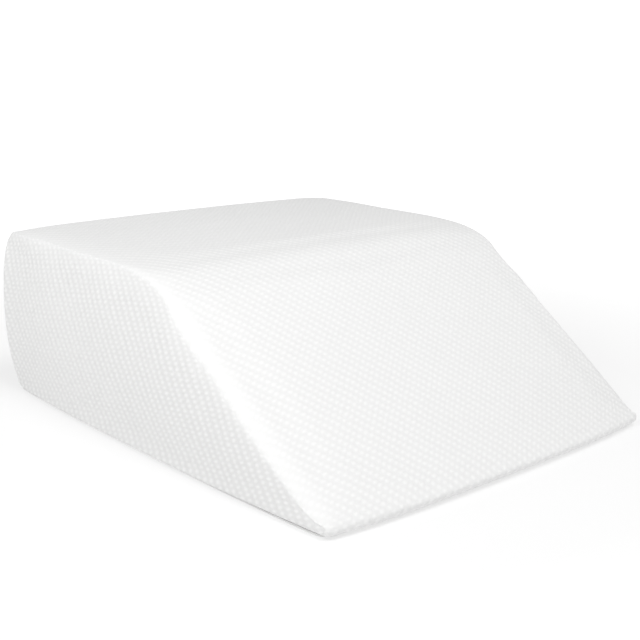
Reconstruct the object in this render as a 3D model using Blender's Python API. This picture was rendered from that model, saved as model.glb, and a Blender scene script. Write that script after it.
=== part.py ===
"""Wedge pillow: a raised leg rest with a level top, a slope and a thin rounded toe.

Metres, +Z up. The origin is on the floor under the middle of the pillow. The toe, the
low end of the slope, points along -Y, and the tall back panel faces +Y.
"""
import math

import bmesh
import bpy

# Overall sizes of the sewn pillow
LENGTH = 0.612
WIDTH = 0.527
HEIGHT = 0.2045
SLOPE_ANGLE = math.radians(35.1)

# The cloth base panel that closes the cover from below
BASE_THICKNESS = 0.0022
BASE_EDGE_ROUND = 0.0009
BASE_INSET_SIDE = 0.0175
BASE_INSET_TOE = 0.0130
BASE_INSET_BACK = 0.0210
BASE_CORNER_RADIUS = 0.012
BASE_EDGE_CUTS = 9
SEAM_GAP = 0.0003

# How far the filling pushes the seams and the panels out
SEAM_SWELL = 0.0110
PANEL_SWELL = 0.0030
TOP_CROWN = 0.0020
SWELL_SOFTNESS = 0.040

# How far the cover draws in at the foot and the rim of the upright faces, over what
# share of the height, and at the four corners as seen from above
FOOT_DRAW = 0.0030
FOOT_REACH = 0.27
RIM_DRAW = 0.0057
RIM_REACH = 0.25
CORNER_DRAW = 0.0075

# Unevenness of the sewn edges down the slope
EDGE_WAVE = 0.0014
EDGE_WAVE_LENGTH = 0.125

# Corners of the side panel, going round from the toe. Columns: name, rounding radius,
# arc steps, and the radius with which the cover rolls over the side seam there
CORNERS = (
    ("toe", 0.0085, 8, 0.0068),
    ("back_base", 0.0120, 4, 0.0085),
    ("back_top", 0.0220, 4, 0.0100),
    ("fold", 0.1400, 9, 0.0130),
)
# Straight runs, each after the corner in the same row above. Columns: name, steps, and
# the seam roll radius
RUNS = (
    ("base", 34, 0.0075),
    ("back", 4, 0.0110),
    ("top", 10, 0.0100),
    ("slope", 15, 0.0135),
)

SEAM_STEPS = 4
ROLL_SMOOTHING = 3
WIDTH_STEPS = 12
HEIGHT_SOFTNESS = 0.008


def seam_half():
    """Half the width between the two side seams."""
    return WIDTH / 2 - SEAM_SWELL - PANEL_SWELL


def seam_back():
    """Distance from the middle to the seams of the back panel."""
    return LENGTH / 2 - SEAM_SWELL - PANEL_SWELL


def side_corners():
    """The side panel's corners as (y, z), toe first, before they are rounded."""
    floor = BASE_THICKNESS + SEAM_GAP
    toe_radius = CORNERS[0][1]
    toe_front = CORNER_DRAW / 2 - LENGTH / 2
    tip = toe_front + toe_radius - toe_radius / math.tan(SLOPE_ANGLE / 2)
    back = seam_back()
    top = HEIGHT - TOP_CROWN
    fold = tip + (top - floor) / math.tan(SLOPE_ANGLE)
    return [(tip, floor), (back, floor), (back, top), (fold, top)]


def side_profile():
    """Points round the side panel: (y, z, normal y, normal z, seam roll radius)."""
    corners = side_corners()
    count = len(corners)
    arcs = []
    for index, (_, radius, steps, roll) in enumerate(CORNERS):
        y, z = corners[index]
        before = corners[index - 1]
        after = corners[(index + 1) % count]
        heading = math.atan2(z - before[1], y - before[0])
        turn = (math.atan2(after[1] - z, after[0] - y) - heading) % math.tau
        reach = radius * math.tan(turn / 2)
        centre_y = y - reach * math.cos(heading) - radius * math.sin(heading)
        centre_z = z - reach * math.sin(heading) + radius * math.cos(heading)
        arc = []
        for step in range(steps + 1):
            facing = heading + turn * step / steps - math.pi / 2
            ny, nz = math.cos(facing), math.sin(facing)
            arc.append((centre_y + radius * ny, centre_z + radius * nz, ny, nz, roll))
        arcs.append(arc)
    points = []
    for index, (_, steps, roll) in enumerate(RUNS):
        points += arcs[index]
        y, z, ny, nz, _ = arcs[index][-1]
        end_y, end_z = arcs[(index + 1) % count][0][:2]
        for step in range(1, steps):
            part = step / steps
            points.append((y + (end_y - y) * part, z + (end_z - z) * part, ny, nz, roll))
    return points


def smooth_rolls(points):
    """Blend the seam roll radius of each run into the next one."""
    rolls = [point[4] for point in points]
    count = len(rolls)
    for _ in range(ROLL_SMOOTHING):
        rolls = [
            0.25 * rolls[i - 1] + 0.5 * rolls[i] + 0.25 * rolls[(i + 1) % count]
            for i in range(count)
        ]
    return [point[:4] + (roll,) for point, roll in zip(points, rolls)]


def local_height(y):
    """Height of the top cloth above the floor at a place along the pillow."""
    ramp = (y - side_corners()[0][0]) * math.tan(SLOPE_ANGLE)
    gap = (ramp - HEIGHT) / HEIGHT_SOFTNESS
    if gap > 0:
        height = HEIGHT - HEIGHT_SOFTNESS * math.log1p(math.exp(-gap))
    else:
        height = ramp - HEIGHT_SOFTNESS * math.log1p(math.exp(gap))
    return max(2 * CORNERS[0][1], height)


def pinch(share, reach):
    """1 at the seam, falling softly to 0 at a share of the height away from it."""
    return max(0.0, 1 - share / reach) ** 1.6


def corners_in(x, y):
    """Draw the four corners of the plan in, as taut cloth does."""
    across = x / seam_half()
    along = 2 * y / LENGTH
    return x - CORNER_DRAW * across * along ** 4, y - CORNER_DRAW * along * across ** 4


def drawn_in(x, y, z):
    """Belly the upright faces out and draw them in at foot, rim and corners."""
    across = min(1.0, abs(x) / seam_half())
    behind = min(1.0, max(0.0, y) / seam_back())
    tall = local_height(y)
    rise = min(1.0, max(0.0, (z - BASE_THICKNESS) / tall))
    belly = SEAM_SWELL * 4 * rise * (1 - rise)
    draw = FOOT_DRAW * pinch(rise, FOOT_REACH) + RIM_DRAW * pinch(1 - rise, RIM_REACH)
    wander = EDGE_WAVE * math.sin(math.tau * y / EDGE_WAVE_LENGTH + 2 * x / WIDTH) * rise
    side_move = (belly - draw + wander) * (tall / HEIGHT) * across ** 6
    back_move = (belly - draw) * behind ** 12
    flat_x, flat_y = corners_in(x, y)
    return flat_x + math.copysign(side_move, x), flat_y + back_move, z


def panel_swell(y, z):
    """Swell of a side panel: nothing at its four seams, soft and full in the middle."""
    corners = side_corners()
    fullness = PANEL_SWELL
    for index, (y1, z1) in enumerate(corners):
        y2, z2 = corners[(index + 1) % len(corners)]
        run = math.hypot(y2 - y1, z2 - z1)
        inside = ((y2 - y1) * (z - z1) - (z2 - z1) * (y - y1)) / run
        fullness *= 1 - math.exp(-max(0.0, inside) / SWELL_SOFTNESS)
    return fullness


def roll_ring(points, side, step):
    """One ring of the rounding where the top and base cloth roll over a side seam."""
    angle = math.pi / 2 * step / SEAM_STEPS
    ring = []
    for y, z, ny, nz, roll in points:
        drop = roll * (1 - math.cos(angle))
        x = side * (seam_half() - roll + roll * math.sin(angle))
        ring.append((x, y - ny * drop, z - nz * drop))
    return ring


def width_ring(points, part):
    """One ring between the side seams, at part -1 to 1 of the width, with its crown."""
    fullness = 1 - part ** 2
    ring = []
    for y, z, ny, nz, roll in points:
        crown = TOP_CROWN * fullness * max(0.0, nz) ** 0.5
        back_swell = PANEL_SWELL * max(0.0, ny) * math.sin(math.pi * z / HEIGHT) * fullness
        toe_bow = CORNER_DRAW / 2 * max(0.0, -ny) ** 4 * fullness
        place_y = y + back_swell - toe_bow + ny * crown
        ring.append(((seam_half() - roll) * part, place_y, z + nz * crown))
    return ring


def add_ring(bm, coords):
    """A closed loop of points joined by edges; edge i ends at point i."""
    verts = [bm.verts.new(co) for co in coords]
    return [bm.edges.new((verts[i - 1], verts[i])) for i in range(len(verts))]


def fill_side(bm, loop):
    """Close a side with an even grid between its base seam and its upper seam."""
    toe_end = CORNERS[0][2]
    back_low = toe_end + RUNS[0][1] + CORNERS[1][2] // 2
    back_high = back_low + CORNERS[1][2] // 2 + RUNS[1][1] + CORNERS[2][2] // 2
    base_seam = loop[toe_end + 1:back_low + 1]
    upper_seam = loop[back_high + 1:] + loop[:1]
    seam_verts = {vert for edge in loop for vert in edge.verts}
    grid = bmesh.ops.grid_fill(bm, edges=base_seam + upper_seam, use_interp_simple=True)["faces"]
    return {vert for face in grid for vert in face.verts} - seam_verts


def finish(bm, name, colour, roughness):
    """Turn a bmesh into a named object with its own cloth material."""
    bmesh.ops.recalc_face_normals(bm, faces=bm.faces)
    mesh = bpy.data.meshes.new(name)
    bm.to_mesh(mesh)
    bm.free()
    mesh.shade_smooth()
    material = bpy.data.materials.new(name)
    material.use_nodes = True
    shader = material.node_tree.nodes["Principled BSDF"]
    shader.inputs["Base Color"].default_value = colour
    shader.inputs["Roughness"].default_value = roughness
    shader.inputs["Metallic"].default_value = 0.0
    mesh.materials.append(material)
    bpy.context.scene.collection.objects.link(bpy.data.objects.new(name, mesh))


def wedge_body():
    """The filled wedge: level top, slope, swollen sides and back, rounded toe."""
    bm = bmesh.new()
    points = smooth_rolls(side_profile())
    rings = [roll_ring(points, -1, step) for step in range(SEAM_STEPS, 0, -1)]
    for step in range(WIDTH_STEPS + 1):
        rings.append(width_ring(points, 2 * step / WIDTH_STEPS - 1))
    rings += [roll_ring(points, 1, step) for step in range(1, SEAM_STEPS + 1)]
    loops = [add_ring(bm, ring) for ring in rings]
    for first, second in zip(loops, loops[1:]):
        bmesh.ops.bridge_loops(bm, edges=first + second)
    for loop in (loops[0], loops[-1]):
        for vert in fill_side(bm, loop):
            vert.co.x += math.copysign(panel_swell(vert.co.y, vert.co.z), vert.co.x)
    for vert in bm.verts:
        vert.co = drawn_in(*vert.co)
    finish(bm, "wedge_body", (0.86, 0.86, 0.855, 1.0), 0.9)


def base_panel():
    """The flat cloth panel under the filling, its corners cut round, its edge turned."""
    bm = bmesh.new()
    front = BASE_INSET_TOE - LENGTH / 2
    back = LENGTH / 2 - BASE_INSET_BACK
    side = WIDTH / 2 - BASE_INSET_SIDE
    outline = ((-side, front), (side, front), (side, back), (-side, back))
    floor_face = bm.faces.new([bm.verts.new((x, y, 0.0)) for x, y in outline])
    bmesh.ops.bevel(
        bm, geom=floor_face.verts[:], offset=BASE_CORNER_RADIUS, segments=6,
        profile=0.5, affect="VERTICES", material=-1,
    )
    long_edges = [edge for edge in bm.edges if edge.calc_length() > 2 * BASE_CORNER_RADIUS]
    bmesh.ops.subdivide_edges(bm, edges=long_edges, cuts=BASE_EDGE_CUTS)
    for vert in bm.verts:
        vert.co.xy = corners_in(vert.co.x, vert.co.y)
    lifted = bmesh.ops.extrude_face_region(bm, geom=bm.faces[:])["geom"]
    top_verts = [item for item in lifted if isinstance(item, bmesh.types.BMVert)]
    bmesh.ops.translate(bm, verts=top_verts, vec=(0, 0, BASE_THICKNESS))
    rim = [
        edge for edge in bm.edges
        if abs(edge.verts[0].co.z - edge.verts[1].co.z) < BASE_THICKNESS / 2
    ]
    bmesh.ops.bevel(
        bm, geom=rim, offset=BASE_EDGE_ROUND, segments=2,
        profile=0.5, affect="EDGES", material=-1,
    )
    finish(bm, "base_panel", (0.84, 0.84, 0.835, 1.0), 0.9)


for old in list(bpy.data.objects):
    bpy.data.objects.remove(old)
wedge_body()
base_panel()
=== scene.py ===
import math

import bmesh
import bpy
import numpy as np
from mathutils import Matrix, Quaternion, Vector
from mathutils.kdtree import KDTree


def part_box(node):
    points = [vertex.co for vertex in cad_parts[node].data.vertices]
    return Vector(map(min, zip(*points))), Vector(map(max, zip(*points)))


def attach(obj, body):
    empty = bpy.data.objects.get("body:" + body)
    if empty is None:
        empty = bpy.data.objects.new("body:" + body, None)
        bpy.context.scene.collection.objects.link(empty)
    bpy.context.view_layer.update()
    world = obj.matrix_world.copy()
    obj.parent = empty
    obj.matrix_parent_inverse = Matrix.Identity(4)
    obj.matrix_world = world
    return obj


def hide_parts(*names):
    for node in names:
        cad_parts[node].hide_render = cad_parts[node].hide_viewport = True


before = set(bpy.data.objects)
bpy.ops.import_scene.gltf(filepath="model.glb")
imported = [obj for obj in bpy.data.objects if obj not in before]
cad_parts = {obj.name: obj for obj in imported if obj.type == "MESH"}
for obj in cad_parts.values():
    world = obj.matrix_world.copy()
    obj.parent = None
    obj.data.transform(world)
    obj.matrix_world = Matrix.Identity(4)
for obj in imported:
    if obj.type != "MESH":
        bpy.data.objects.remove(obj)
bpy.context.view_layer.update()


# The foam wedge in its fitted cover. The cover is a white bubble knit, cut as a long strip
# that runs up the back, over the top and down the slope, and two side panels. Sewn together
# over the foam they make one filled piece, taut on the flats and softly rolled at the seams.
body_low, body_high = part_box("wedge_body")
FLOOR = body_low.z
FULL_LENGTH = body_high.y - body_low.y
FULL_WIDTH = body_high.x - body_low.x
FULL_HEIGHT = body_high.z
SEAM_SWELL = 0.0110
PANEL_SWELL = 0.0030
TOP_CROWN = 0.0020
SLOPE_ANGLE = math.radians(35.1)
HEIGHT_SOFTNESS = 0.008
SWELL_SOFTNESS = 0.040
SEAM_HALF = FULL_WIDTH / 2 - SEAM_SWELL - PANEL_SWELL
SEAM_BACK = FULL_LENGTH / 2 - SEAM_SWELL - PANEL_SWELL
CORNER_DRAW = 0.0075
FOOT_DRAW, FOOT_REACH = 0.0030, 0.27
RIM_DRAW, RIM_REACH = 0.0057, 0.25
EDGE_WAVE, EDGE_WAVE_LENGTH = 0.0014, 0.125
BELLY_AT_TOE, RIM_AT_TOE = 0.65, 0.35
ROLL_SMOOTHINGS = 3

# Corners of the side panel from the toe round to the fold. Columns: name, rounding
# radius, arc steps, radius at which the cover rolls over the side seam
side_corner_table = (
    ("toe", 0.0085, 12, 0.0068),
    ("back_base", 0.0120, 4, 0.0150),
    ("back_top", 0.0220, 4, 0.0060),
    ("fold", 0.1400, 9, 0.0105),
)
# The straight run after each of them. Columns: name, steps, radius of the seam roll
side_run_table = (
    ("base", 62, 0.0075),
    ("back", 8, 0.0210),
    ("top", 22, 0.0050),
    ("slope", 31, 0.0225),
)


def side_corners():
    """The side panel's corners as (y, z), toe first, before they are rounded."""
    toe_radius = side_corner_table[0][1]
    toe_front = CORNER_DRAW / 2 - FULL_LENGTH / 2
    tip = toe_front + toe_radius - toe_radius / math.tan(SLOPE_ANGLE / 2)
    top = FULL_HEIGHT - TOP_CROWN
    fold = tip + (top - FLOOR) / math.tan(SLOPE_ANGLE)
    return [(tip, FLOOR), (SEAM_BACK, FLOOR), (SEAM_BACK, top), (fold, top)]


def side_outline():
    """Stations round the side panel as (y, z, normal y, normal z, roll, distance)."""
    corners = side_corners()
    arcs = []
    for index, (_, radius, steps, roll) in enumerate(side_corner_table):
        y, z = corners[index]
        before, after = corners[index - 1], corners[(index + 1) % 4]
        heading = math.atan2(z - before[1], y - before[0])
        turn = (math.atan2(after[1] - z, after[0] - y) - heading) % math.tau
        reach = radius * math.tan(turn / 2)
        centre_y = y - reach * math.cos(heading) - radius * math.sin(heading)
        centre_z = z - reach * math.sin(heading) + radius * math.cos(heading)
        arc = []
        for step in range(steps + 1):
            facing = heading + turn * step / steps - math.pi / 2
            ny, nz = math.cos(facing), math.sin(facing)
            arc.append([centre_y + radius * ny, centre_z + radius * nz, ny, nz, roll])
        arcs.append(arc)
    stations = []
    for index, (_, steps, roll) in enumerate(side_run_table):
        stations += arcs[index]
        y, z, ny, nz, _ = arcs[index][-1]
        end_y, end_z = arcs[(index + 1) % 4][0][:2]
        for step in range(1, steps):
            part = step / steps
            stations.append([y + (end_y - y) * part, z + (end_z - z) * part, ny, nz, roll])
    for _ in range(ROLL_SMOOTHINGS):
        rolls = [station[4] for station in stations]
        for index, station in enumerate(stations):
            after = rolls[(index + 1) % len(rolls)]
            station[4] = 0.25 * rolls[index - 1] + 0.5 * rolls[index] + 0.25 * after
    distance = 0.0
    for index, station in enumerate(stations):
        if index:
            previous = stations[index - 1]
            distance += math.hypot(station[0] - previous[0], station[1] - previous[1])
        station.append(distance)
    return stations


stations = side_outline()
TIP_Y, FOLD_Y = side_corners()[0][0], side_corners()[3][0]
toe_end = side_corner_table[0][2]
base_end = toe_end + side_run_table[0][1]

# The strip turns ROLL_TURN over the seam, and no roll on the right is wider than RIGHT_ROLL
ROLL_STEPS, MIDDLE_STEPS = 4, 36
ROLL_TURN = math.radians(64)
RIGHT_ROLL = 0.0145


def roll_start(roll):
    """Where the strip leaves the flat and starts to roll down to the side seam."""
    return SEAM_HALF - roll * math.sin(ROLL_TURN)


def rolled(station, side, step):
    """A point where the cover rolls down to the side seam, 0 at the start of the roll."""
    y, z, ny, nz, roll, _ = station
    if side > 0:
        roll = min(roll, RIGHT_ROLL)
    angle = ROLL_TURN * step / ROLL_STEPS
    drop = roll * (1 - math.cos(angle))
    x = roll_start(roll) + roll * math.sin(angle)
    across = roll_start(roll) + roll * angle
    return Vector((side * x, y - ny * drop, z - nz * drop)), side * across


# Between its edges the fold is tighter than at the sides, where the cloth bridges it
EDGE_FOLD_RADIUS, MIDDLE_FOLD_RADIUS = side_corner_table[3][1], 0.070


def fold_fullness(y, part):
    """How far the middle of the fold stands proud of its wider rounding at the sides."""
    away = y - FOLD_Y if y > FOLD_Y else (FOLD_Y - y) / math.cos(SLOPE_ANGLE)
    half_turn = math.tan(SLOPE_ANGLE / 2)
    wide = max(0.0, EDGE_FOLD_RADIUS * half_turn - away) ** 2 / (2 * EDGE_FOLD_RADIUS)
    tight = max(0.0, MIDDLE_FOLD_RADIUS * half_turn - away) ** 2 / (2 * MIDDLE_FOLD_RADIUS)
    return (wide - tight) * (1 - abs(part) ** 8)


def across_strip(station, column):
    """A point of the long strip at a column, with its place across the flat cloth."""
    if column < ROLL_STEPS:
        return rolled(station, -1, ROLL_STEPS - column)
    if column > ROLL_STEPS + MIDDLE_STEPS:
        return rolled(station, 1, column - ROLL_STEPS - MIDDLE_STEPS)
    part = 2 * (column - ROLL_STEPS) / MIDDLE_STEPS - 1
    y, z, ny, nz, roll, _ = station
    fullness = 1 - part ** 2
    crown = TOP_CROWN * fullness * max(0.0, nz) ** 0.5
    if nz > 0.5:
        crown += fold_fullness(y, part)
    back_swell = PANEL_SWELL * max(0.0, ny) * math.sin(math.pi * z / FULL_HEIGHT) * fullness
    toe_bow = CORNER_DRAW / 2 * max(0.0, -ny) ** 4 * fullness
    left, right = -roll_start(roll), roll_start(min(roll, RIGHT_ROLL))
    x = left + (right - left) * (part + 1) / 2
    return Vector((x, y + back_swell - toe_bow + ny * crown, z + nz * crown)), x


def cut_cloth(columns, rows, place):
    """A grid of cloth laid where place(column, row) says, with its place on the roll."""
    bm = bmesh.new()
    bmesh.ops.create_grid(bm, x_segments=columns, y_segments=rows, size=0.5)
    cloth = bm.loops.layers.uv.new("cloth")
    laid = {}
    for vert in bm.verts:
        column = round((vert.co.x + 0.5) * columns)
        row = round((vert.co.y + 0.5) * rows)
        vert.co, laid[vert.index] = place(column, row)
    for face in bm.faces:
        for loop in face.loops:
            loop[cloth].uv = laid[loop.vert.index]
    mesh = bpy.data.meshes.new("cut")
    bm.to_mesh(mesh)
    bm.free()
    return mesh


strip_stations = stations[base_end:] + stations[:toe_end + 1]
first_length = len(stations) - base_end
loop_length = stations[-1][5] + math.dist(stations[-1][:2], stations[0][:2])


def strip_place(column, row):
    """The long strip runs from the back of the base, over the top and down to the toe."""
    station = strip_stations[row]
    point, across = across_strip(station, column)
    along = station[5] if row < first_length else station[5] + loop_length
    return point, (across, -along)


# The side panels were cut a little off the grain of the strip. Shares of y and z that
# make the place across and along the cloth
GRAIN_ACROSS, GRAIN_ALONG = (0.964, -0.153), (0.028, 0.979)


def side_cloth(side, y, z):
    """Place of a point of a side panel on the flat cloth."""
    across = GRAIN_ACROSS[0] * side * y + GRAIN_ACROSS[1] * z
    along = GRAIN_ALONG[0] * side * y + GRAIN_ALONG[1] * z
    return across, along


def left_base_roll(column, row):
    """The strip that rolls under the left side panel, from the toe to the back."""
    point, _ = rolled(stations[toe_end + row], -1, column)
    return point, side_cloth(-1, point.y, point.z)


def right_base_roll(column, row):
    """The same under the right side panel."""
    point, _ = rolled(stations[toe_end + row], 1, column)
    return point, side_cloth(1, point.y, point.z)


cuts = [
    cut_cloth(2 * ROLL_STEPS + MIDDLE_STEPS, len(strip_stations) - 1, strip_place),
    cut_cloth(ROLL_STEPS, base_end - toe_end, left_base_roll),
    cut_cloth(ROLL_STEPS, base_end - toe_end, right_base_roll),
]
bm = bmesh.new()
for cut in cuts:
    bm.from_mesh(cut)
    bpy.data.meshes.remove(cut)
JOIN_GAP = 0.00005
bmesh.ops.remove_doubles(bm, verts=bm.verts, dist=JOIN_GAP)
cloth = bm.loops.layers.uv["cloth"]
# This layer also carries a painted highlight along the left edge
flat_and_painted_highlight = bm.verts.layers.float.new("flat_and_painted_highlight")

# Each side panel is an even grid between its base seam and its upper seam
back_from = base_end + side_corner_table[1][2]
back_middle = base_end + side_corner_table[1][2] // 2
top_middle = back_from + side_run_table[1][1] + side_corner_table[2][2] // 2
slope_from = len(stations) - side_run_table[3][1] - side_corner_table[3][2]
seam_rings = []
panel_verts = []
for side in (-1, 1):
    seam = [rolled(station, side, ROLL_STEPS)[0] for station in stations]
    nearby = KDTree(len(seam))
    for index, point in enumerate(seam):
        nearby.insert(point, index)
    nearby.balance()
    ring = {}
    for vert in bm.verts:
        _, index, gap = nearby.find(vert.co)
        if gap < 2 * JOIN_GAP:
            ring[vert] = index
    seam_rings.append(ring)
    chains = []
    for edge in bm.edges:
        if len(edge.link_faces) == 1 and edge.verts[0] in ring and edge.verts[1] in ring:
            low, high = sorted(ring[vert] for vert in edge.verts)
            if low >= toe_end and high <= back_middle or low >= top_middle:
                chains.append(edge)
            elif low == 0 and high == len(seam) - 1:
                chains.append(edge)
    panel = bmesh.ops.grid_fill(bm, edges=chains, use_interp_simple=True)["faces"]
    for face in panel:
        for loop in face.loops:
            loop[cloth].uv = side_cloth(side, loop.vert.co.y, loop.vert.co.z)
    panel_verts.append({vert for face in panel for vert in face.verts})
bmesh.ops.recalc_face_normals(bm, faces=bm.faces)


def local_height(y):
    """Height of the top cloth above the floor at a place along the pillow."""
    ramp = (y - TIP_Y) * math.tan(SLOPE_ANGLE)
    gap = (ramp - FULL_HEIGHT) / HEIGHT_SOFTNESS
    if gap > 0:
        height = FULL_HEIGHT - HEIGHT_SOFTNESS * math.log1p(math.exp(-gap))
    else:
        height = ramp - HEIGHT_SOFTNESS * math.log1p(math.exp(gap))
    return max(2 * side_corner_table[0][1], height)


def panel_swell(y, z):
    """Swell of a side panel: nothing at its seams, soft and full in the middle."""
    corners = side_corners()
    fullness = PANEL_SWELL
    for index, (y1, z1) in enumerate(corners):
        y2, z2 = corners[(index + 1) % 4]
        run = math.hypot(y2 - y1, z2 - z1)
        inside = ((y2 - y1) * (z - z1) - (z2 - z1) * (y - y1)) / run
        fullness *= 1 - math.exp(-max(0.0, inside) / SWELL_SOFTNESS)
    return fullness


def pinch(share, reach):
    """1 at the seam, falling softly to 0 at a share of the height away from it."""
    return max(0.0, 1 - share / reach) ** 1.6


def corners_in(x, y):
    """Draw the four corners of the plan in, as taut cloth does."""
    across = x / SEAM_HALF
    along = 2 * y / FULL_LENGTH
    return x - CORNER_DRAW * across * along ** 4, y - CORNER_DRAW * along * across ** 4


def bump_at(value, middle, width):
    """A soft single wave, 1 at its middle."""
    return math.exp(-((value - middle) / width) ** 2)


# Small kinks in the side edge of the slope. Columns: share of the height below the top,
# width, how far out
edge_kink_table = (
    (0.275, 0.030, 0.0022),
    (0.345, 0.028, -0.0034),
)


def drawn_in(x, y, z):
    """Belly the upright faces out, draw them in at foot, rim and corners, kink the edge."""
    across = min(1.0, abs(x) / SEAM_HALF)
    behind = min(1.0, max(0.0, y) / SEAM_BACK)
    tall = local_height(y)
    rise = min(1.0, max(0.0, (z - FLOOR) / tall))
    belly = SEAM_SWELL * 4 * rise * (1 - rise) * (BELLY_AT_TOE + (1 - BELLY_AT_TOE) * behind)
    rim = RIM_DRAW * (RIM_AT_TOE + (1 - RIM_AT_TOE) * behind ** 2)
    draw = FOOT_DRAW * pinch(rise, FOOT_REACH) + rim * pinch(1 - rise, RIM_REACH)
    wander = EDGE_WAVE * math.sin(math.tau * y / EDGE_WAVE_LENGTH + 2 * x / FULL_WIDTH) * rise
    side_move = (belly - draw + wander) * (tall / FULL_HEIGHT) * across ** 6
    down = 1 - tall / FULL_HEIGHT
    kink = sum(out * bump_at(down, middle, width) for middle, width, out in edge_kink_table)
    side_move += kink * across ** 8 * bump_at(rise, 1.0, 0.30)
    back_move = (belly - draw) * behind ** 12
    flat_x, flat_y = corners_in(x, y)
    return Vector((flat_x + math.copysign(side_move, x), flat_y + back_move, z))


for side, verts, ring in zip((-1, 1), panel_verts, seam_rings):
    for vert in verts - set(ring):
        vert.co.x += side * panel_swell(vert.co.y, vert.co.z)
for vert in bm.verts:
    vert.co = drawn_in(*vert.co)

# How firmly each place is held while the cover settles: fully at the foot and the side
# seams, fading beside them. The seams are crisp round the top and softer down the slope
HELD_HEIGHT, FADE_SHARE, FADE_STEPS = 0.020, 0.85, 3
CRISP_SEAM, SOFT_SEAM = 0.55, 0.35
hold = {}
for vert in bm.verts:
    hold[vert] = min(1.0, max(0.0, 1.4 - (vert.co.z - FLOOR) / HELD_HEIGHT))
seam_crease = bm.edges.layers.float.new("crease_edge")
for ring in seam_rings:
    for vert in ring:
        hold[vert] = 1.0
        for edge in vert.link_edges:
            if edge.other_vert(vert) in ring:
                crisp = slope_from > ring[vert] > toe_end
                edge[seam_crease] = CRISP_SEAM if crisp else SOFT_SEAM
for _ in range(FADE_STEPS):
    spread = {}
    for vert in bm.verts:
        own = hold[vert]
        around = [hold[edge.other_vert(vert)] for edge in vert.link_edges]
        spread[vert] = max(own, FADE_SHARE * sum(around) / len(around) + (1 - FADE_SHARE) * own)
    hold = spread
hold = [hold[vert] for vert in bm.verts]

# How far the knit is pulled flat, which flattens its bubbles and paints it paler: a little on the
# strip, most where it rolls over its left edge, in a wide band along the slope, and hardly at all
# on the side panels. The pale band along the left edge, which faces the lights, is a painted
# highlight
SIDE_REACH, TOP_REACH, SLOPE_REACH = 0.007, 0.008, 0.019
SIDE_FLAT_AND_HIGHLIGHT, STRIP_FLAT_AND_HIGHLIGHT = 0.6, 0.45
left_edge = KDTree(len(stations))
for vert, index in seam_rings[0].items():
    if index >= top_middle:
        left_edge.insert(vert.co, index)
left_edge.balance()
side_verts = panel_verts[0] | panel_verts[1]
for vert in bm.verts:
    _, index, gap = left_edge.find(vert.co)
    if vert in side_verts:
        vert[flat_and_painted_highlight] = SIDE_FLAT_AND_HIGHLIGHT * bump_at(gap, 0.0, SIDE_REACH)
    else:
        reach = SLOPE_REACH if index >= slope_from else TOP_REACH
        vert[flat_and_painted_highlight] = STRIP_FLAT_AND_HIGHLIGHT + (1 - STRIP_FLAT_AND_HIGHLIGHT) * bump_at(gap, 0.0, reach)

# The cover starts START_IN inside its shape, is blown gently outwards over SETTLE_FRAMES
# frames and may move SETTLE_CAP at most
START_IN, SETTLE_CAP, SETTLE_FRAMES = 0.0028, 0.0035, 20
bm.normal_update()
for vert, firm in zip(bm.verts, hold):
    vert.co -= vert.normal * START_IN * (1 - firm)
cover_mesh = bpy.data.meshes.new("wedge_cover")
bm.to_mesh(cover_mesh)
bm.free()
cover_mesh.shade_smooth()
cover = bpy.data.objects.new("wedge_cover", cover_mesh)
bpy.context.scene.collection.objects.link(cover)

start = np.empty(len(cover_mesh.vertices) * 3)
cover_mesh.vertices.foreach_get("co", start)
start = start.reshape(-1, 3)
normals = np.empty(start.size)
cover_mesh.vertices.foreach_get("normal", normals)
normals = normals.reshape(-1, 3)
group = cover.vertex_groups.new(name="held")
for index, firm in enumerate(hold):
    group.add([index], firm, "REPLACE")
settle = cover.modifiers.new("settle", "CLOTH")
settle.settings.vertex_group_mass = "held"
settle.settings.use_pressure = True
settle.settings.uniform_pressure_force = 4.0
settle.settings.effector_weights.gravity = 0.0
settle.settings.quality = 5
settle.settings.tension_stiffness = 15.0
settle.settings.bending_stiffness = 0.5
settle.settings.mass = 0.3
settle.point_cache.frame_start = 1
settle.point_cache.frame_end = SETTLE_FRAMES
for step in range(1, SETTLE_FRAMES + 1):
    bpy.context.scene.frame_set(step)
blown = cover.evaluated_get(bpy.context.evaluated_depsgraph_get()).to_mesh()
settled = np.empty(start.size)
blown.vertices.foreach_get("co", settled)
settled = settled.reshape(-1, 3)
bpy.context.scene.frame_set(1)
cover.modifiers.remove(settle)
cover.vertex_groups.clear()
lift = np.einsum("ij,ij->i", settled - start, normals)
settled = start + normals * np.clip(lift, 0.0, SETTLE_CAP)[:, None]

# The cover lies on the base cloth, and its foot rolls down to the floor outside it
panel_low, panel_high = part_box("base_panel")
FOOT_GAP, FOOT_ROLL, FOOT_HEIGHT = 0.0005, 0.004, 0.014
CLOTH_MARGIN = 0.0008


def ease(value):
    """0 below 0, 1 above 1, soft between."""
    value = np.clip(value, 0.0, 1.0)
    return value * value * (3 - 2 * value)


def rest_height(x, y):
    """What the cover rests on: the base cloth, or outside its edge the floor."""
    past_ends = np.maximum(panel_low.y - y, y - panel_high.y)
    outside = np.maximum(np.abs(x) - panel_high.x, past_ends)
    return FLOOR - (FLOOR - FOOT_GAP) * ease((outside - CLOTH_MARGIN) / FOOT_ROLL)


lowest = rest_height(settled[:, 0], settled[:, 1])
near_floor = 1 - ease((settled[:, 2] - FLOOR) / FOOT_HEIGHT)
settled[:, 2] = np.maximum(settled[:, 2], FLOOR) - (FLOOR - lowest) * near_floor
cover_mesh.vertices.foreach_set("co", settled.ravel())
cover_mesh.update()

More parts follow.
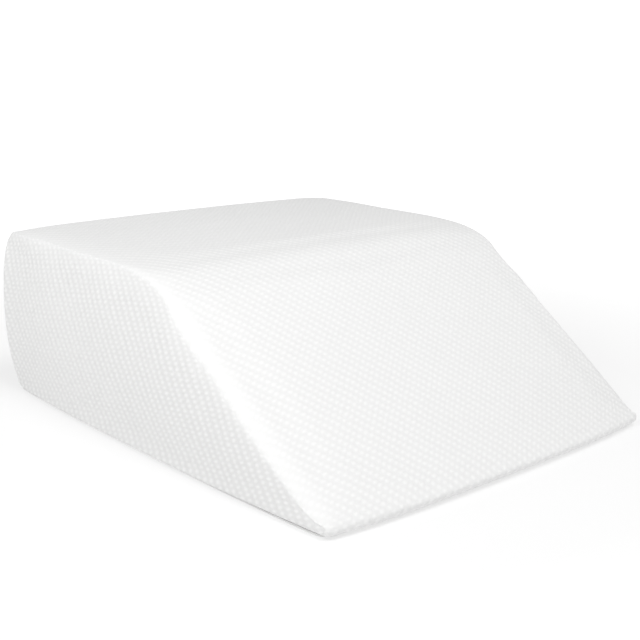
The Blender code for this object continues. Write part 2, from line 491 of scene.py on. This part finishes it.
smooth = cover.modifiers.new("smooth", "SUBSURF")
smooth.levels = 2
smooth.render_levels = 2
smoothed = cover.evaluated_get(bpy.context.evaluated_depsgraph_get())
fine = bpy.data.meshes.new_from_object(smoothed)
cover.modifiers.remove(smooth)
cover.data = fine
fine.name = "wedge_cover"
bpy.data.meshes.remove(cover_mesh)
bm = bmesh.new()
bm.from_mesh(fine)
for vert in bm.verts:
    vert.co.z = max(vert.co.z, rest_height(vert.co.x, vert.co.y))
opening = [edge for edge in bm.edges if edge.is_boundary]
bmesh.ops.holes_fill(bm, edges=opening, sides=0)
bm.to_mesh(fine)
bm.free()
fine.shade_smooth()


def new_material(name):
    """A material with its output, its shader and a function that adds a joined node."""
    material = bpy.data.materials.new(name)
    material.use_nodes = True
    tree = material.node_tree
    shader = tree.nodes["Principled BSDF"]

    def add(kind, *feeds, **settings):
        node = tree.nodes.new(kind)
        for key, value in settings.items():
            setattr(node, key, value)
        for socket, feed in feeds:
            if isinstance(feed, bpy.types.NodeSocket):
                tree.links.new(feed, node.inputs[socket])
            else:
                node.inputs[socket].default_value = feed
        return node

    return material, tree, shader, add


# White bubble knit: oval bubbles in slanting rows, each raised over a thin tuck, knitted
# from yarn whose stitches are about a millimetre wide. Waves are turns per metre of cloth
knit, tree, shader, add = new_material("bubble_knit")
cloth_map = add("ShaderNodeUVMap", uv_map="cloth").outputs["UV"]
ROW_WAVE = (85.5, 64.5, 0.0)
BUBBLE_WAVE = (-120.5, 125.0, 0.0)
STITCH_WAVES = ((900.0, 0.0, 0.0), (450.0, 760.0, 0.0), (-450.0, 760.0, 0.0))
BUBBLE_SHARE, CROSS_SHARE, STITCH_SHARE = 0.55, 0.47, 0.02
BUBBLE_RELIEF = 0.0009
SIDE_SLACK, FLAT_SLACK = 1.45, 0.34
DRIFT = 0.0022
# The tuck colour is painted shade: the grey that falls in the tucks between the bubbles, as deep as
# the bubble tone sets it
TUCK_PAINTED_SHADE, BUBBLE_COLOUR = (0.721, 0.721, 0.718, 1), (0.904, 0.904, 0.901, 1)
# The flat tone paints the knit paler where it is pulled flat: a painted highlight, strongest along
# the left edge
UNEVEN_TONE, FLAT_PAINTED_HIGHLIGHT, TUCK_SHADE_DEPTH = 0.18, 0.36, 0.36


def wave(vector, per_metre):
    """Turns along one direction of the cloth, as an angle."""
    turns = add("ShaderNodeVectorMath", (0, vector), (1, per_metre), operation="DOT_PRODUCT")
    turns = turns.outputs["Value"]
    return add("ShaderNodeMath", (0, turns), (1, math.tau), operation="MULTIPLY").outputs[0]


def cosine(angle):
    return add("ShaderNodeMath", (0, angle), operation="COSINE").outputs[0]


def combine(first, second, factor):
    """first + second x factor."""
    feeds = ((0, second), (1, factor), (2, first))
    return add("ShaderNodeMath", *feeds, operation="MULTIPLY_ADD").outputs[0]


def stitches(vector, stitch_waves):
    """Fine stitches in three directions."""
    across, rising, falling = (cosine(wave(vector, per_metre)) for per_metre in stitch_waves)
    return combine(combine(across, rising, 1.0), falling, 1.0)


drift = add("ShaderNodeTexNoise", ("Vector", cloth_map), ("Scale", 40.0), ("Detail", 1.0))
drift = drift.outputs["Color"]
drift = add("ShaderNodeVectorMath", (0, drift), (1, (0.5, 0.5, 0.5)), operation="SUBTRACT")
drift = add("ShaderNodeVectorMath", (0, drift.outputs[0]), ("Scale", DRIFT), operation="SCALE")
drifted = add("ShaderNodeVectorMath", (0, cloth_map), (1, drift.outputs[0]), operation="ADD")
row_angle = wave(drifted.outputs[0], ROW_WAVE)
bubble_angle = wave(drifted.outputs[0], BUBBLE_WAVE)
both = add("ShaderNodeMath", (0, row_angle), (1, bubble_angle), operation="ADD").outputs[0]
relief = combine(cosine(row_angle), cosine(bubble_angle), BUBBLE_SHARE)
relief = combine(relief, cosine(both), CROSS_SHARE)
rounded = add(
    "ShaderNodeMapRange", ("Value", relief), ("From Min", -1.45), ("From Max", 2.2),
    interpolation_type="SMOOTHSTEP",
).outputs[0]
# This mask flattens the bubbles and also paints a highlight, paler along the left edge
flatness_and_highlight = add("ShaderNodeAttribute", attribute_name="flat_and_painted_highlight").outputs["Fac"]
slack = add(
    "ShaderNodeMapRange", ("Value", flatness_and_highlight), ("To Min", SIDE_SLACK), ("To Max", FLAT_SLACK),
).outputs[0]
rounded = add("ShaderNodeMath", (0, rounded), (1, slack), operation="MULTIPLY").outputs[0]
height = combine(rounded, stitches(cloth_map, STITCH_WAVES), STITCH_SHARE)
bump = add("ShaderNodeBump", ("Height", height), ("Distance", BUBBLE_RELIEF), ("Strength", 0.65))
tree.links.new(bump.outputs[0], shader.inputs["Normal"])

# Paler on the bubbles, with painted shade greying the tucks between them; paler too where the knit
# is pulled flat, a painted highlight strongest along the left edge; the tone also wanders at random
tone = add("ShaderNodeTexNoise", ("Vector", cloth_map), ("Scale", 7.0), ("Detail", 3.0))
tone = combine(combine(0.0, tone.outputs["Fac"], UNEVEN_TONE), flatness_and_highlight, FLAT_PAINTED_HIGHLIGHT)
tone = combine(tone, rounded, TUCK_SHADE_DEPTH)
colour = add("ShaderNodeValToRGB", ("Fac", tone))
colour.color_ramp.elements[0].position = 0.0
colour.color_ramp.elements[0].color = TUCK_PAINTED_SHADE
colour.color_ramp.elements[1].position = 1.0
colour.color_ramp.elements[1].color = BUBBLE_COLOUR
tree.links.new(colour.outputs["Color"], shader.inputs["Base Color"])
shader.inputs["Roughness"].default_value = 0.92
shader.inputs["Specular IOR Level"].default_value = 0.25
shader.inputs["Sheen Weight"].default_value = 0.12
shader.inputs["Sheen Roughness"].default_value = 0.5
fine.materials.clear()
fine.materials.append(knit)
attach(cover, "root")
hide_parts("wedge_body")


# The base cloth: one flat panel of plain white knit, cut with round corners, its edge
# turned under and sewn to the foot of the cover all the way round.
CLOTH_THICKNESS = panel_high.z - panel_low.z
CORNER_CUT, CORNER_STEPS, LONG_EDGE_CUTS = 0.012, 8, 40
SIDE_INSET, TOE_INSET, BACK_INSET = 0.0175, 0.0130, 0.0210
bm = bmesh.new()
bmesh.ops.create_grid(bm, x_segments=1, y_segments=1, size=0.5)
panel_half = FULL_WIDTH / 2 - SIDE_INSET
panel_front, panel_back = TOE_INSET - FULL_LENGTH / 2, FULL_LENGTH / 2 - BACK_INSET
for vert in bm.verts:
    vert.co.x = math.copysign(panel_half, vert.co.x)
    vert.co.y = panel_back if vert.co.y > 0 else panel_front
bmesh.ops.bevel(
    bm, geom=bm.verts[:], offset=CORNER_CUT, segments=CORNER_STEPS,
    profile=0.5, affect="VERTICES", material=-1,
)
long_edges = [edge for edge in bm.edges if edge.calc_length() > 2 * CORNER_CUT]
bmesh.ops.subdivide_edges(bm, edges=long_edges, cuts=LONG_EDGE_CUTS)
for vert in bm.verts:
    vert.co.xy = corners_in(vert.co.x, vert.co.y)
lifted = bmesh.ops.extrude_face_region(bm, geom=bm.faces[:])["geom"]
lifted = [item for item in lifted if isinstance(item, bmesh.types.BMVert)]
bmesh.ops.translate(bm, verts=lifted, vec=(0, 0, CLOTH_THICKNESS))
rim = []
for edge in bm.edges:
    if abs(edge.verts[0].co.z - edge.verts[1].co.z) < CLOTH_THICKNESS / 2:
        rim.append(edge)
bmesh.ops.bevel(
    bm, geom=rim, offset=CLOTH_THICKNESS * 0.45, segments=3,
    profile=0.5, affect="EDGES", material=-1,
)
bmesh.ops.recalc_face_normals(bm, faces=bm.faces)
base_mesh = bpy.data.meshes.new("base_cloth_panel")
bm.to_mesh(base_mesh)
bm.free()
base_mesh.shade_smooth()
base_cloth = bpy.data.objects.new("base_cloth_panel", base_mesh)
bpy.context.scene.collection.objects.link(base_cloth)

PLAIN_STITCH_WAVES = ((700.0, 0.0, 0.0), (350.0, 600.0, 0.0), (-350.0, 600.0, 0.0))
PLAIN_DARK, PLAIN_PALE = (0.72, 0.72, 0.715, 1), (0.77, 0.77, 0.765, 1)
plain_knit, tree, shader, add = new_material("plain_knit")
place = add("ShaderNodeTexCoord").outputs["Object"]
plain = stitches(place, PLAIN_STITCH_WAVES)
bump = add("ShaderNodeBump", ("Height", plain), ("Distance", 0.00015), ("Strength", 0.5))
tree.links.new(bump.outputs[0], shader.inputs["Normal"])
tone = add("ShaderNodeTexNoise", ("Vector", place), ("Scale", 12.0), ("Detail", 3.0))
colour = add("ShaderNodeValToRGB", ("Fac", tone.outputs["Fac"]))
colour.color_ramp.elements[0].position = 0.3
colour.color_ramp.elements[0].color = PLAIN_DARK
colour.color_ramp.elements[1].position = 0.7
colour.color_ramp.elements[1].color = PLAIN_PALE
tree.links.new(colour.outputs["Color"], shader.inputs["Base Color"])
shader.inputs["Roughness"].default_value = 0.95
shader.inputs["Specular IOR Level"].default_value = 0.2
base_mesh.materials.append(plain_knit)
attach(base_cloth, "root")
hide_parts("base_panel")


# The studio: a wide pale paper floor with a low wall round it, lit so that it glows more
# away from the pillow, under a dim white sky.
FLOOR_RADIUS, WALL_HEIGHT = 9.0, 1.4
bm = bmesh.new()
bmesh.ops.create_circle(bm, cap_ends=True, segments=96, radius=FLOOR_RADIUS)
bmesh.ops.inset_region(bm, faces=bm.faces[:], thickness=0.5)
edge_loop = [edge for edge in bm.edges if edge.is_boundary]
raised = bmesh.ops.extrude_edge_only(bm, edges=edge_loop)["geom"]
raised = [item for item in raised if isinstance(item, bmesh.types.BMVert)]
bmesh.ops.translate(bm, verts=raised, vec=(0, 0, WALL_HEIGHT))
mesh = bpy.data.meshes.new("studio_floor")
bm.to_mesh(mesh)
bm.free()
floor = bpy.data.objects.new("studio_floor", mesh)
bpy.context.scene.collection.objects.link(floor)
paper, tree, shader, add = new_material("studio_paper")
shader.inputs["Base Color"].default_value = (0.42, 0.42, 0.42, 1)
shader.inputs["Roughness"].default_value = 1.0
shader.inputs["Specular IOR Level"].default_value = 0.0
shader.inputs["Emission Color"].default_value = (1, 1, 1, 1)
place = add("ShaderNodeTexCoord").outputs["Object"]
away = add("ShaderNodeVectorMath", (0, place), operation="LENGTH").outputs["Value"]
glow = add(
    "ShaderNodeMapRange", ("Value", away), ("From Min", 0.45), ("From Max", 1.7),
    ("To Min", 0.54), ("To Max", 0.90),
)
tree.links.new(glow.outputs[0], shader.inputs["Emission Strength"])
mesh.materials.append(paper)

world = bpy.data.worlds.new("studio_sky")
world.use_nodes = True
sky = world.node_tree.nodes["Background"]
sky.inputs["Color"].default_value = (1, 1, 1, 1)
sky.inputs["Strength"].default_value = 0.56
bpy.context.scene.world = world

# Two large soft lights, one on the left and one over the camera. Columns: name, degrees
# round from the front, degrees up, distance, width, brightness on a sheet that faces it
light_table = (
    ("left_light", -75, 40, 1.7, 0.8, 0.240),
    ("front_light", -10, 62, 3.0, 1.4, 0.36),
)
for name, around, up, distance, width, brightness in light_table:
    around, up = math.radians(around), math.radians(up)
    level = math.cos(up)
    towards = Vector((math.sin(around) * level, -math.cos(around) * level, math.sin(up)))
    light = bpy.data.objects.new(name, bpy.data.lights.new(name, "AREA"))
    light.data.shape = "DISK"
    light.data.size = width
    light.data.energy = brightness * (math.pi * distance) ** 2
    light.location = Vector((0, 0, 0.1)) + towards * distance
    light.rotation_mode = "QUATERNION"
    light.rotation_quaternion = towards.to_track_quat("Z", "Y")
    bpy.context.scene.collection.objects.link(light)


# The camera stands in front of the left corner, a little above the pillow. It looks just
# past the middle of the pillow and is held 1 degree off level, as the outline shows.
CAMERA_AZIMUTH = math.radians(-42.13)
CAMERA_ELEVATION = math.radians(14.40)
CAMERA_ROLL = math.radians(1.0)
CAMERA_DISTANCE = 1.3309
CAMERA_AIM = Vector((0.0053, -0.005, 0.1052))
FOCAL_PIXELS, PICTURE_PIXELS, SENSOR = 1122.4, 640, 36
camera = bpy.data.objects.new("camera", bpy.data.cameras.new("camera"))
camera.data.sensor_width = SENSOR
camera.data.lens = SENSOR * FOCAL_PIXELS / PICTURE_PIXELS
behind = Vector((
    math.sin(CAMERA_AZIMUTH) * math.cos(CAMERA_ELEVATION),
    -math.cos(CAMERA_AZIMUTH) * math.cos(CAMERA_ELEVATION),
    math.sin(CAMERA_ELEVATION),
))
camera.location = CAMERA_AIM + behind * CAMERA_DISTANCE
camera.rotation_mode = "QUATERNION"
camera.rotation_quaternion = (-behind).to_track_quat("-Z", "Y") @ Quaternion((0, 0, 1), CAMERA_ROLL)
bpy.context.scene.collection.objects.link(camera)
bpy.context.scene.camera = camera
bpy.context.scene.view_settings.view_transform = "Standard"
